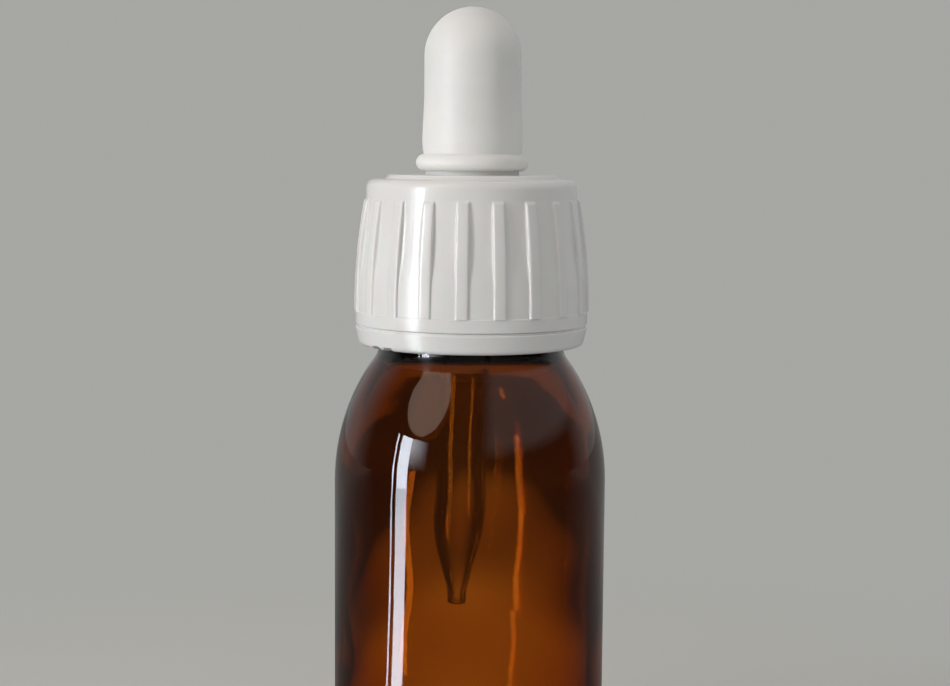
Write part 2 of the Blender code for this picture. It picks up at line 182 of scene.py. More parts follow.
# Glass pipette
PIPETTE_RADIUS = 3.5 * MM
PIPETTE_BORE_RADIUS = 2.6 * MM
PIPETTE_HEAD_HEIGHT = 1.2 * MM
PIPETTE_HEAD_ROUND = 0.4 * MM
PIPETTE_TIP_RADIUS = 1.3 * MM
PIPETTE_TIP_BORE = 0.65 * MM
PIPETTE_TIP_LENGTH = 11.0 * MM
PIPETTE_NOZZLE_LENGTH = 1.8 * MM
PIPETTE_TIP_ROUND = 20.0 * MM
PIPETTE_MOUTH_ROUND = 0.2 * MM
PIPETTE_LEAN = math.radians(1.9)
PIPETTE_HOLD_Z = FLANGE_BOTTOM_Z + FLANGE_THICKNESS / 2
BULB_HOLE_RADIUS = PIPETTE_RADIUS + 0.3 * MM

# Fineness of the meshes
FILLET_STEP = math.radians(12.0)
FILLET_LEAST = 4
FILLET_SHARE = 0.9
ARC_STEP = math.radians(3.0)
SHARP_ANGLE = math.radians(38.0)
POLE_RADIUS = 1e-7
BOTTLE_STEPS = 160
BULB_STEPS = 96
PIPETTE_STEPS = 72
RING_STEPS = 180
INNER_WALL_ROW = 1.2 * MM
OUTER_WALL_ROW = 2.0 * MM
SCREW_ROW = 0.22 * MM
FOOT_ROW = 0.3 * MM
HEM_ROW = 0.25 * MM
BREAK_ROW = 0.05 * MM
RIB_END_ROW = 0.08 * MM
RIB_SIDE_ROW = 0.6 * MM
RIB_FOOT_ROW = 0.03 * MM
CAP_BORE_ROW = 0.3 * MM
BULB_SIDE_ROW = 0.6 * MM
BULB_INSIDE_ROW = 0.8 * MM
PIPETTE_ROW = 2.5 * MM

# Camera: a lens of 1750 pixels on the photograph's width of 950
PHOTO_WIDTH = 950
SENSOR_WIDTH = 36.0
LENS_PIXELS = 1750.0
CAMERA_PLACE = (0.56 * MM, -240.1 * MM, 98.45 * MM)
CAMERA_PITCH = math.radians(-6.13)
CAMERA_ROLL = math.radians(0.45)


def smooth(low, high, value):
    """0 below low, 1 above high, and an even S-curve between them."""
    t = min(max((value - low) / (high - low), 0.0), 1.0)
    return t * t * (3.0 - 2.0 * t)


def turn_between(angle, other):
    """The signed turn from other to angle, the short way round."""
    return (angle - other + math.pi) % (2 * math.pi) - math.pi


def even_angles(count):
    return [2 * math.pi * i / count for i in range(count)]


def arc(centre, radius, start, end, step=ARC_STEP):
    """Points of an arc in the plane of radius and height, ends included. Angle 0 points outwards."""
    segments = max(1, math.ceil(abs(end - start) / step))
    angles = [start + (end - start) * i / segments for i in range(segments + 1)]
    return [(centre[0] + radius * math.cos(a), centre[1] + radius * math.sin(a)) for a in angles]


def dome(half_width, rise, top_z):
    """Points of a shallow dome from its rim up to its middle on the axis."""
    radius = (half_width**2 + rise**2) / (2 * rise)
    return arc((0.0, top_z - radius), radius, math.acos(half_width / radius), math.pi / 2)


def fillet(before, corner, after, radius, most):
    """The arc that rounds one corner, no larger than its sides leave room for."""
    here = Vector(corner)
    back = (Vector(before) - here).normalized()
    ahead = (Vector(after) - here).normalized()
    half_angle = back.angle(ahead) / 2
    reach = min(radius / math.tan(half_angle), most)
    centre = here + (back + ahead).normalized() * (reach / math.cos(half_angle))
    first = here + back * reach - centre
    last = here + ahead * reach - centre
    start = math.atan2(first.y, first.x)
    turn = turn_between(math.atan2(last.y, last.x), start)
    return arc(centre, first.length, start, start + turn, min(FILLET_STEP, abs(turn) / FILLET_LEAST))


def rounded(corners):
    """An open profile from (radius, height) corners, with a third number, the fillet, at a round corner."""
    points = [corners[0][:2]]
    for before, corner, after in zip(corners, corners[1:], corners[2:]):
        if len(corner) == 2:
            points.append(corner)
            continue
        shares = [FILLET_SHARE if len(side) == 2 else FILLET_SHARE / 2 for side in (before, after)]
        lengths = [math.dist(side[:2], corner[:2]) for side in (before, after)]
        most = min(share * length for share, length in zip(shares, lengths))
        points += fillet(before[:2], corner[:2], after[:2], corner[2], most)
    return points + [corners[-1][:2]]


def dense(points, most):
    """The same profile with extra points, so that no straight stretch is longer than most."""
    result = [points[0]]
    for start, end in zip(points, points[1:]):
        pieces = max(1, math.ceil(math.dist(start, end) / most))
        for i in range(1, pieces + 1):
            share = i / pieces
            result.append((start[0] + (end[0] - start[0]) * share, start[1] + (end[1] - start[1]) * share))
    return result


def unshaped(label, r, z, angle):
    return r, z


def turned(name, sections, angles, material, shape=unshaped):
    """A closed mesh turned about Z. The sections are labelled stretches of one profile that runs down its
    outer side, and shape moves each point of a stretch."""
    verts = []
    rows = []
    for label, points in sections:
        for r, z in points:
            if r < POLE_RADIUS:
                rows.append([len(verts)])
                verts.append((0.0, 0.0, z))
                continue
            rows.append(range(len(verts), len(verts) + len(angles)))
            for angle in angles:
                radius, height = shape(label, r, z, angle)
                verts.append((radius * math.cos(angle), radius * math.sin(angle), height))
    if len(rows[0]) > 1:
        rows.append(rows[0])
    faces = []
    for row, below in zip(rows, rows[1:]):
        for j in range(len(angles)):
            k = (j + 1) % len(angles)
            if len(row) == 1:
                faces.append((row[0], below[j], below[k]))
            elif len(below) == 1:
                faces.append((row[j], below[0], row[k]))
            else:
                faces.append((row[j], below[j], below[k], row[k]))
    mesh = bpy.data.meshes.new(name)
    mesh.from_pydata(verts, [], faces)
    mesh.materials.append(material)
    mesh.shade_smooth()
    mesh.set_sharp_from_angle(angle=SHARP_ANGLE)
    obj = bpy.data.objects.new(name, mesh)
    bpy.context.scene.collection.objects.link(obj)
    return obj


def thread(z, angle, low_z):
    """How much of a thread's full height stands at this place: 0 between the turns, 1 on the crest."""
    turns_here = angle / (2 * math.pi) % 1.0
    whole = round((z - low_z) / THREAD_PITCH - turns_here)
    along = whole + turns_here
    ends = smooth(0.0, THREAD_RUN_OUT, along) * smooth(0.0, THREAD_RUN_OUT, THREAD_TURNS - along)
    aside = abs(z - low_z - along * THREAD_PITCH)
    return ends * (1.0 - smooth(THREAD_CREST, THREAD_CREST + THREAD_FLANK, aside))


# Bottle


def bottle_sections():
    inner_radius = BODY_RADIUS - BODY_WALL
    centre_r = BODY_RADIUS - SHOULDER_ARC
    rise = math.sqrt(SHOULDER_ARC**2 - (NECK_RADIUS - centre_r) ** 2)
    centre = (centre_r, NECK_FOOT_Z - rise)
    inner_arc = SHOULDER_ARC - BODY_WALL
    shoulder_end = math.asin(rise / SHOULDER_ARC)
    inner_end = math.acos((BORE_RADIUS - centre_r) / inner_arc)
    land_z = LOCK_BEAD_LOW_Z + LOCK_BEAD_UNDERCUT
    bead_top_z = land_z + LOCK_BEAD_LAND
    bead_radius = NECK_RADIUS + LOCK_BEAD_RISE
    foot_out = BODY_RADIUS - HEEL_ROUND
    foot_in = foot_out - BEARING_WIDTH

    floor = dome(inner_radius - INNER_HEEL_ROUND, FLOOR_CROWN, FLOOR_Z)[::-1]
    heel_inside = arc(
        (inner_radius - INNER_HEEL_ROUND, FLOOR_Z - FLOOR_CROWN + INNER_HEEL_ROUND),
        INNER_HEEL_ROUND, -math.pi / 2, 0.0, FILLET_STEP,
    )
    wall = dense([heel_inside[-1], (inner_radius, centre[1])], INNER_WALL_ROW)
    inside_top = arc(centre, inner_arc, 0.0, inner_end)
    shoulder = arc(centre, SHOULDER_ARC, shoulder_end, 0.0)
    lip = rounded([
        inside_top[-1],
        (BORE_RADIUS, GLASS_HEIGHT, LIP_ROUND),
        (NECK_RADIUS, GLASS_HEIGHT, LIP_ROUND),
        (NECK_RADIUS, GLASS_HEIGHT - 2 * LIP_ROUND),
    ])
    screw = dense([lip[-1], (NECK_RADIUS, bead_top_z + 1.3 * LOCK_BEAD_RISE)], SCREW_ROW)
    bead = rounded([
        screw[-1],
        (NECK_RADIUS, bead_top_z + LOCK_BEAD_RISE, LOCK_BEAD_ROUND),
        (bead_radius, bead_top_z, LOCK_BEAD_ROUND),
        (bead_radius, land_z, LOCK_BEAD_ROUND),
        (NECK_RADIUS, LOCK_BEAD_LOW_Z, LOCK_BEAD_ROUND),
        (NECK_RADIUS, NECK_FOOT_Z, NECK_FOOT_ROUND),
        shoulder[2],
    ])
    body = dense([shoulder[-1], (BODY_RADIUS, HEEL_ROUND)], OUTER_WALL_ROW)
    heel = arc((foot_out, HEEL_ROUND), HEEL_ROUND, 0.0, -math.pi / 2, FILLET_STEP)
    foot = dense([(foot_out, 0.0), (foot_in, 0.0)], FOOT_ROW)
    hollow = dome(foot_in, PUSH_UP, PUSH_UP)
    return [
        ("inside", floor + heel_inside[1:] + wall[1:] + inside_top[1:]),
        ("lip", lip[1:]),
        ("screw", screw[1:]),
        ("lip", bead[1:-1]),
        ("outside", shoulder[2:] + body[1:] + heel[1:-1]),
        ("foot", foot),
        ("lip", hollow[1:]),
    ]


def ripple(z, angle):
    """The slow waves that the blowing leaves on the inside of the wall."""
    fade = smooth(RIPPLE_LOW_Z, RIPPLE_LOW_Z + RIPPLE_FADE, z)
    fade *= 1.0 - smooth(RIPPLE_TOP_Z - RIPPLE_FADE, RIPPLE_TOP_Z, z)
    climb = 2 * math.pi * z / RIPPLE_LENGTH
    wave = math.sin(RIPPLE_WAVES * angle + climb + RIPPLE_PHASE)
    cross_wave = math.sin(angle - RIPPLE_CROSS_PITCH * climb)
    return RIPPLE_RISE * fade * (wave + RIPPLE_CROSS_SHARE * cross_wave)


def seam(r, angle):
    """The fine ridge where the two halves of the mould met."""
    aside = min(abs(turn_between(angle, at)) for at in SEAM_ANGLES) * r
    return SEAM_RISE * (1.0 - smooth(0.0, SEAM_WIDTH, aside))


def bottle_shape(label, r, z, angle):
    if label == "inside":
        return r + ripple(z, angle), z
    if label == "screw":
        return r + THREAD_RISE * thread(z, angle, THREAD_LOW_Z), z
    if label == "outside":
        return r + seam(r, angle), z
    if label == "foot":
        middle = BODY_RADIUS - HEEL_ROUND - BEARING_WIDTH / 2
        across = 1.0 - smooth(0.25 * BEARING_WIDTH, 0.45 * BEARING_WIDTH, abs(r - middle))
        groove = smooth(0.2, 0.8, math.cos(KNURL_COUNT * angle))
        return r, z + KNURL_DEPTH * across * groove
    return r, z


def build_bottle():
    angles = sorted(even_angles(BOTTLE_STEPS) + seam_angles())
    bottle = turned("bottle_glass", bottle_sections(), angles, amber_glass(), bottle_shape)
    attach(bottle, "bottle")
    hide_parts("bottle")


def seam_angles():
    """Extra angles, so that the seams have a crest and two sides."""
    step = SEAM_WIDTH / BODY_RADIUS
    return [(at + i * step / 2) % (2 * math.pi) for at in SEAM_ANGLES for i in (-2, -1, 1, 2)]


# Tamper ring


def ring_sections():
    lip_top_z = RING_BOTTOM_Z + RING_LIP_HEIGHT
    edge = rounded([
        (BAND_RADIUS - 2 * BAND_EDGE_ROUND, RING_TOP_Z),
        (BAND_RADIUS, RING_TOP_Z, BAND_EDGE_ROUND),
        (BAND_RADIUS - RING_TAPER, RING_BOTTOM_Z, RING_EDGE_ROUND),
        (RING_LIP_RADIUS, RING_BOTTOM_Z),
        (RING_LIP_RADIUS, lip_top_z),
        (RING_BORE_RADIUS, lip_top_z + RING_LIP_SLOPE),
        (RING_BORE_RADIUS, RING_TOP_Z),
    ])
    top = dense([edge[-1], edge[0]], BREAK_ROW)
    return [("hem", dense(edge, HEM_ROW)), ("break", top[1:-1])]


def notch_offset(angle):
    return min(abs(turn_between(angle, at)) for at in NOTCH_ANGLES) * BAND_RADIUS


def ring_shape(label, r, z, angle):
    if label == "hem" and notch_offset(angle) < NOTCH_WIDTH / 2:
        return r, max(z, RING_BOTTOM_Z + NOTCH_DEPTH)
    if label == "break":
        across = smooth(0.0, BREAK_FLANK, r - RING_BORE_RADIUS - BREAK_GROOVE)
        across *= smooth(0.0, BREAK_FLANK, BAND_RADIUS - BREAK_GROOVE - r)
        return r, z + BREAK_RIDGE * across
    return r, z


def ring_angles():
    """Even steps, with close pairs at the sides of the notches."""
    angles = even_angles(RING_STEPS)
    half = NOTCH_WIDTH / 2 / BAND_RADIUS
    step = CUT_STEP / BAND_RADIUS
    for at in NOTCH_ANGLES:
        angles += [at - half - step, at - half + step, at + half - step, at + half + step]
    return sorted(angle % (2 * math.pi) for angle in angles)


def build_ring():
    white = white_plastic("ring_plastic", 0.2)
    ring = turned("tamper_ring_band", ring_sections(), ring_angles(), white, ring_shape)
    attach(ring, "tamper_ring")
    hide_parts("tamper_ring")


# Cap


def cap_sections():
    ceiling_z = CAP_FLAT_Z - CAP_TOP_THICKNESS
    lead_in_z = CAP_BOTTOM_Z + SKIRT_LEAD_IN
    grip_top_z = RIB_TOP_Z + GRIP_TOP_MARGIN
    top = rounded([
        (CAP_HOLE_RADIUS, CAP_TOP_Z - DISC_CHAMFER),
        (CAP_HOLE_RADIUS, CAP_TOP_Z, DISC_ROUND),
        (DISC_RADIUS - DISC_CHAMFER, CAP_TOP_Z, DISC_ROUND),
        (DISC_RADIUS, CAP_FLAT_Z, DISC_ROUND),
        (CAP_CORE_RADIUS, CAP_FLAT_Z, CAP_TOP_ROUND),
        (CAP_CORE_RADIUS, grip_top_z),
    ])
    flat = rounded([
        (CAP_CORE_RADIUS, grip_top_z),
        (CAP_CORE_RADIUS, RIB_TOP_Z),
        GRIP_KNEE,
        GRIP_BEND,
        (BAND_RADIUS - GRIP_STEP, BAND_TOP_Z),
    ])
    top_end = [point for point in dense(flat, RIB_END_ROW) if point[1] > RIB_TOP_Z - 2 * RIB_TOP_FADE]
    side = [point for point in dense(flat, RIB_SIDE_ROW) if point[1] < top_end[-1][1]]
    foot = dense([flat[-1], (BAND_RADIUS, BAND_TOP_Z - GRIP_STEP)], RIB_FOOT_ROW)
    skirt = rounded([
        foot[-1],
        (BAND_RADIUS, CAP_BOTTOM_Z, BAND_EDGE_ROUND),
        (RING_BORE_RADIUS, CAP_BOTTOM_Z),
        (RING_BORE_RADIUS, lead_in_z),
        (CAP_BORE_RADIUS, lead_in_z + RING_BORE_RADIUS - CAP_BORE_RADIUS),
    ])
    bore = dense([skirt[-1], (CAP_BORE_RADIUS, ceiling_z - CAP_BORE_PLAIN)], CAP_BORE_ROW)
    ceiling = [(CAP_BORE_RADIUS, ceiling_z), (CAP_HOLE_RADIUS, ceiling_z)]
    return [
        ("plain", top),
        ("grip", top_end[1:] + side + foot[1:]),
        ("plain", skirt[1:]),
        ("bore", bore[1:]),
        ("plain", ceiling),
    ]


def rib_crest(z):
    """Radius of the crest line, which bows from the core at the top to just past the band at its foot."""
    crest_foot = BAND_RADIUS + RIB_FOOT_RISE
    height = RIB_TOP_Z - RIB_FOOT_Z
    bow = crest_foot - CAP_CORE_RADIUS - RIB_TOP_RISE
    radius = (height**2 + bow**2) / (2 * bow)
    return crest_foot - radius + math.sqrt(radius**2 - (z - RIB_FOOT_Z) ** 2)


def rib_rise(height, aside):
    """Height of a rib's section at a distance from its middle: round edges, steep sides and a round root."""
    edge = min(RIB_EDGE_ROUND, height)
    root = min(RIB_ROOT_ROUND, height - edge) if height > edge else 0.0
    half = RIB_WIDTH / 2
    if aside <= half - edge:
        return height
    if aside <= half:
        return height - edge + math.sqrt(max(edge**2 - (aside - half + edge) ** 2, 0.0))
    over = aside - half - RIB_FLANK
    if over >= root:
        return 0.0
    return root - math.sqrt(max(root**2 - (root - over) ** 2, 0.0))


def cap_shape(label, r, z, angle):
    if label == "bore":
        return r - CAP_THREAD_RISE * thread(z, angle, THREAD_LOW_Z + THREAD_PITCH / 2), z
    if label != "grip" or z < RIB_FOOT_Z:
        return r, z
    pitch = 2 * math.pi / RIB_COUNT
    off = turn_between(angle, RIB_FIRST_ANGLE)
    aside = abs(off - pitch * round(off / pitch)) * BAND_RADIUS
    height = (rib_crest(min(z, RIB_TOP_Z)) - r) * (1.0 - smooth(RIB_TOP_Z - RIB_TOP_FADE, RIB_TOP_Z, z))
    return r + rib_rise(max(height, 0.0), aside), z


def cap_angles():
    """Angles gathered at the edges and roots of the ribs."""
    half = RIB_WIDTH / 2
    edge = half - RIB_EDGE_ROUND
    root = half + RIB_FLANK
    offsets = [0.0, edge / 2]
    offsets += [edge + RIB_EDGE_ROUND * math.sin(math.radians(a)) for a in (0, 25, 45, 65, 90)]
    offsets += [root + RIB_ROOT_ROUND * (1.0 - math.cos(math.radians(a))) for a in (0, 30, 60, 90)]
    flat = math.pi / RIB_COUNT * BAND_RADIUS
    offsets += [offsets[-1] + (flat - offsets[-1]) * share for share in (0.33, 0.66)]
    turns = [offset / BAND_RADIUS for offset in offsets]
    turns += [-turn for turn in turns[1:]]
    pitch = 2 * math.pi / RIB_COUNT
    ribs = [RIB_FIRST_ANGLE + i * pitch for i in range(RIB_COUNT)]
    flats = [rib + pitch / 2 for rib in ribs]
    angles = [rib + turn for rib in ribs for turn in turns] + flats
    return sorted(angle % (2 * math.pi) for angle in angles)


def build_cap():
    white = white_plastic("cap_plastic", 0.13)
    cap = turned("screw_cap", cap_sections(), cap_angles(), white, cap_shape)
    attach(cap, "cap")
    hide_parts("cap")


# Bulb


def bulb_sections():
    dome_z = BULB_TOP_Z - BULB_RADIUS
    foot_radius = BULB_RADIUS + BULB_FOOT_FLARE
    foot_z = BULB_BEAD_Z + BULB_BEAD_ROUND
    bead_middle = BULB_NECK_RADIUS + BULB_BEAD_RISE - BULB_BEAD_ROUND
    pinch = math.acos((foot_radius - BULB_PINCH - bead_middle) / BULB_BEAD_ROUND)
    tuck = math.acos((BULB_NECK_RADIUS - bead_middle) / BULB_BEAD_ROUND)
    cavity_radius = BULB_RADIUS - BULB_WALL
    flange_top_z = FLANGE_BOTTOM_Z + FLANGE_THICKNESS
    crown = arc((0.0, dome_z), BULB_RADIUS, math.pi / 2, 0.0)
    bead = arc((bead_middle, BULB_BEAD_Z), BULB_BEAD_ROUND, pinch, -tuck, FILLET_STEP)
    side = rounded([
        crown[-1],
        (BULB_RADIUS, foot_z + BULB_FLARE_HEIGHT, BULB_SIDE_ROUND),
        (foot_radius, foot_z + BULB_FOOT_HEIGHT, BULB_FOOT_ROUND),
        bead[0],
    ])
    flange = rounded([
        bead[-1],
        (BULB_NECK_RADIUS, flange_top_z),
        (FLANGE_RADIUS, flange_top_z, FLANGE_EDGE_ROUND),
        (FLANGE_RADIUS, FLANGE_BOTTOM_Z, FLANGE_EDGE_ROUND),
        (BULB_HOLE_RADIUS, FLANGE_BOTTOM_Z),
        (BULB_HOLE_RADIUS, BULB_LEDGE_Z),
        (cavity_radius, BULB_LEDGE_Z),
        (cavity_radius, dome_z),
    ])
    inside = arc((0.0, dome_z), cavity_radius, 0.0, math.pi / 2)
    return [
        ("plain", crown + dense(side, BULB_SIDE_ROW)[1:-1] + bead),
        ("plain", dense(flange, BULB_INSIDE_ROW)[1:] + inside[1:]),
    ]


def build_bulb():
    bulb = turned("rubber_bulb", bulb_sections(), even_angles(BULB_STEPS), soft_rubber())
    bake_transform(bulb)
    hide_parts("bulb")


# Pipette


def pipette_sections():
    head_z = PIPETTE_TOP_Z - PIPETTE_HEAD_HEIGHT
    taper_z = PIPETTE_TIP_Z + PIPETTE_TIP_LENGTH
    nozzle_z = PIPETTE_TIP_Z + PIPETTE_NOZZLE_LENGTH
    middle_z = (head_z + taper_z) / 2
    outline = rounded([
        (PIPETTE_BORE_RADIUS, middle_z),
        (PIPETTE_BORE_RADIUS, PIPETTE_TOP_Z, PIPETTE_HEAD_ROUND),
        (PIPETTE_HEAD_RADIUS, PIPETTE_TOP_Z, PIPETTE_HEAD_ROUND),
        (PIPETTE_HEAD_RADIUS, head_z, PIPETTE_HEAD_ROUND),
        (PIPETTE_RADIUS, head_z),
        (PIPETTE_RADIUS, taper_z, PIPETTE_TIP_ROUND),
        (PIPETTE_TIP_RADIUS, nozzle_z, PIPETTE_TIP_ROUND),
        (PIPETTE_TIP_RADIUS, PIPETTE_TIP_Z, PIPETTE_MOUTH_ROUND),
        (PIPETTE_TIP_BORE, PIPETTE_TIP_Z, PIPETTE_MOUTH_ROUND),
        (PIPETTE_TIP_BORE, nozzle_z, PIPETTE_TIP_ROUND),
        (PIPETTE_BORE_RADIUS, taper_z, PIPETTE_TIP_ROUND),
        (PIPETTE_BORE_RADIUS, middle_z),
    ])
    return [("plain", dense(outline, PIPETTE_ROW)[:-1])]


def build_pipette():
    pipette = turned("glass_pipette", pipette_sections(), even_angles(PIPETTE_STEPS), clear_glass())
    hold = Matrix.Translation((0.0, 0.0, PIPETTE_HOLD_Z))
    pipette.data.transform(hold @ Matrix.Rotation(PIPETTE_LEAN, 4, "Y") @ hold.inverted())
    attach(pipette, "dropper")
    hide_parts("pipette")


# Materials


class Tree:
    """A node tree, with short ways to add nodes and to join them."""

    def __init__(self, owner):
        owner.use_nodes = True
        self.nodes = owner.node_tree.nodes
        self.links = owner.node_tree.links

    def add(self, kind, **settings):
        node = self.nodes.new(kind)
        for key, value in settings.items():
            setattr(node, key, value)
        return node

    def join(self, start, end):
        self.links.new(start, end)

    def sight(self):
        """What kind of ray looks at the surface, by name."""
        return self.add("ShaderNodeLightPath").outputs

    def axes(self, place):
        split = self.add("ShaderNodeSeparateXYZ")
        self.join(place, split.inputs[0])
        return split.outputs

    def spread(self, value, low, high, start=0.3, end=0.7):
        """The value's range from start to end, spread from low to high."""
        node = self.add("ShaderNodeMapRange")
        node.inputs["From Min"].default_value = start
        node.inputs["From Max"].default_value = end
        node.inputs["To Min"].default_value = low
        node.inputs["To Max"].default_value = high
        self.join(value, node.inputs["Value"])
        return node.outputs["Result"]

    def math(self, operation, first, second):
        node = self.add("ShaderNodeMath", operation=operation)
        self.join(first, node.inputs[0])
        self.join(second, node.inputs[1])
        return node.outputs["Value"]

    def light(self, kind, colour, strength):
        """A shader that gives light, of one strength or of a strength that another node works out."""
        node = self.add(kind)
        node.inputs["Color"].default_value = (*colour, 1.0)
        if isinstance(strength, float):
            node.inputs["Strength"].default_value = strength
        else:
            self.join(strength, node.inputs["Strength"])
        return node.outputs[0]

    def blend(self, share, first, second):
        """The first shader where the share is 0, the second where it is 1."""
        node = self.add("ShaderNodeMixShader")
        self.join(share, node.inputs["Fac"])
        self.join(first, node.inputs[1])
        self.join(second, node.inputs[2])
        return node.outputs["Shader"]


class Nodes(Tree):
    """A material's node tree."""

    def __init__(self, name):
        self.material = bpy.data.materials.new(name)
        super().__init__(self.material)
        self.shader = self.nodes["Principled BSDF"]
        self.output = self.nodes["Material Output"]

    def place(self):
        return self.add("ShaderNodeTexCoord").outputs["Object"]

    def stretched(self, stretch):
        mapping = self.add("ShaderNodeMapping")
        mapping.inputs["Scale"].default_value = stretch
        self.join(self.place(), mapping.inputs["Vector"])
        return mapping.outputs["Vector"]

    def distance(self, stretch=(1.0, 1.0, 1.0)):
        """The distance from the object's middle, with the axes stretched."""
        length = self.add("ShaderNodeVectorMath", operation="LENGTH")
        self.join(self.stretched(stretch), length.inputs[0])
        return length.outputs["Value"]

    def noise(self, size, detail=3.0, stretch=(1.0, 1.0, 1.0)):
        """A noise whose grains are about size metres across."""
        noise = self.add("ShaderNodeTexNoise")
        noise.inputs["Scale"].default_value = 1.0 / size
        noise.inputs["Detail"].default_value = detail
        self.join(self.stretched(stretch), noise.inputs["Vector"])
        return noise.outputs["Fac"]

    def tint(self, value, first, second):
        """A colour that goes from first to second with the value."""
        ramp = self.add("ShaderNodeValToRGB")
        ramp.color_ramp.elements[0].position = 0.3
        ramp.color_ramp.elements[1].position = 0.7
        ramp.color_ramp.elements[0].color = (*first, 1.0)
        ramp.color_ramp.elements[1].color = (*second, 1.0)
        self.join(value, ramp.inputs["Fac"])
        return ramp.outputs["Color"]

    def bump(self, value, depth, below=None):
        node = self.add("ShaderNodeBump")
        node.inputs["Distance"].default_value = depth
        node.inputs["Strength"].default_value = 1.0
        self.join(value, node.inputs["Height"])
        if below is not None:
            self.join(below, node.inputs["Normal"])
        return node.outputs["Normal"]

    def glow(self, colour, strength=1.0):
        return self.light("ShaderNodeEmission", colour, strength)

    def show(self, surface):
        self.join(surface, self.output.inputs["Surface"])

    def set(self, **values):
        """Plain values for the shader's sockets, by their names with _ for a space."""
        for key, value in values.items():
            self.shader.inputs[key.replace("_", " ")].default_value = value


def scaled(colour, share):
    return tuple(channel * share for channel in colour)


def amber_glass():
    nodes = Nodes("amber_glass")
    nodes.set(Base_Color=(1.0, 1.0, 1.0, 1.0), Transmission_Weight=1.0, IOR=1.52)
    nodes.join(nodes.spread(nodes.noise(14 * MM), 0.015, 0.05), nodes.shader.inputs["Roughness"])
    waves = nodes.bump(nodes.noise(7 * MM, 2.0, (1.0, 1.0, 0.35)), 0.02 * MM)
    nodes.join(waves, nodes.shader.inputs["Normal"])
    absorb = nodes.add("ShaderNodeVolumeAbsorption")
    absorb.inputs["Color"].default_value = (0.788, 0.530, 0.0, 1.0)
    absorb.inputs["Density"].default_value = 1415.0
    nodes.join(absorb.outputs["Volume"], nodes.output.inputs["Volume"])
    return nodes.material


def clear_glass():
    nodes = Nodes("clear_glass")
    nodes.set(Base_Color=(0.97, 0.98, 0.97, 1.0), Transmission_Weight=1.0, IOR=1.5)
    nodes.join(nodes.spread(nodes.noise(9 * MM), 0.0, 0.03), nodes.shader.inputs["Roughness"])
    drawn = nodes.bump(nodes.noise(4 * MM, 1.0, (1.0, 1.0, 0.1)), 0.01 * MM)
    nodes.join(drawn, nodes.shader.inputs["Normal"])
    return nodes.material


def white_plastic(name, roughness):
    nodes = Nodes(name)
    colour = (0.81, 0.81, 0.80)
    cloud = nodes.noise(6 * MM, 4.0)
    nodes.join(nodes.tint(cloud, scaled(colour, 0.965), colour), nodes.shader.inputs["Base Color"])
    nodes.join(nodes.spread(cloud, roughness - 0.04, roughness + 0.07), nodes.shader.inputs["Roughness"])
    flow = nodes.bump(nodes.noise(2.5 * MM, 2.0, (1.0, 1.0, 0.4)), 0.012 * MM)
    grain = nodes.bump(nodes.noise(0.25 * MM, 2.0), 0.004 * MM, below=flow)
    nodes.join(grain, nodes.shader.inputs["Normal"])
    nodes.set(IOR=1.5, Specular_IOR_Level=0.35, Subsurface_Weight=0.12, Subsurface_Scale=0.6 * MM)
    return nodes.material


def soft_rubber():
    nodes = Nodes("bulb_rubber")
    colour = (0.85, 0.85, 0.83)
    cloud = nodes.noise(5 * MM, 4.0)
    nodes.join(nodes.tint(cloud, scaled(colour, 0.96), colour), nodes.shader.inputs["Base Color"])
    nodes.join(nodes.spread(cloud, 0.42, 0.56), nodes.shader.inputs["Roughness"])
    soft = nodes.bump(nodes.noise(3 * MM, 2.0), 0.02 * MM)
    grain = nodes.bump(nodes.noise(0.18 * MM, 3.0), 0.008 * MM, below=soft)
    nodes.join(grain, nodes.shader.inputs["Normal"])
    nodes.set(IOR=1.46, Subsurface_Weight=0.3, Subsurface_Scale=2.0 * MM, Sheen_Weight=0.05)
    nodes.set(Subsurface_Radius=(1.0, 0.85, 0.6))
    return nodes.material


# Stage

BACKGROUND = (0.385, 0.387, 0.368)
FLOOR_RADIUS = 3.0
FLOOR_COLOUR = (0.67, 0.67, 0.64)
GLOW_EDGE = (0.06, 0.20)
POOL_SQUEEZE = 4.2
POOL_LIGHT = 1.8
POOL_DARK = 0.24
POOL_EDGE = (0.14, 0.31)
DARK_EDGE = (0.8, 1.15)
FRONT_EDGE = (-0.25, -0.05)
MIRROR_DARK = 0.1
MIRROR_PALE = 0.65
MIRROR_EDGE = (-0.03, 0.20)
SOFT_LIGHT = 0.44
SOFT_TILT = 0.17
FRONT_LIGHT = 0.1
ROOM_COLOUR = (1.0, 1.0, 0.985)
ROOM_LIGHT = 0.43
ROOM_DARK = 0.03
ROOM_BEHIND = (0.1, 0.5)
ROOM_ABOVE = (0.22, 0.34)
ROOM_BESIDE = (0.15, 0.35)
CEILING_EDGE = (0.08, 0.2)

# Lamps, and bright panels that only shiny surfaces or the glass show. Directions are degrees to the right of
# the camera's side, and a pair of strengths is for near the object and far from it. A panel's strength goes
# through a node even where it is constant: a plain value on the socket renders slightly differently.
LIGHT_AIM = Vector((0.0, 0.0, 60.0 * MM))
RADIANCE_TO_POWER = 4.0
KEY_COLOUR = (0.97, 1.0, 1.03)
CARD_COLOUR = (1.0, 0.80, 0.66)
PANEL_COLOUR = (0.93, 0.98, 1.08)
WINDOW = (-62.2, -52.4)
WINDOW_SIDE = (-67.0, -65.6)
WINDOW_WING = (-52.4, -36.0)
INNER_GLARE = (-57.5, -51.5)
WINDOW_DISTANCE = 0.60
WINDOW_TOP_Z = 0.27
WINDOW_LIGHT = (17.0, 17.0)
WING_LOW_Z = 0.10
WING_HIGH_Z = 0.8 * WINDOW_TOP_Z
WING_LIGHT = 7.0
GLARE_Z = 0.0006
GLARE_EDGE = (0.062, 0.32)
GLARE_LIGHT = (15.0, 10.5)
INNER_GLARE_LIGHT = 20.0
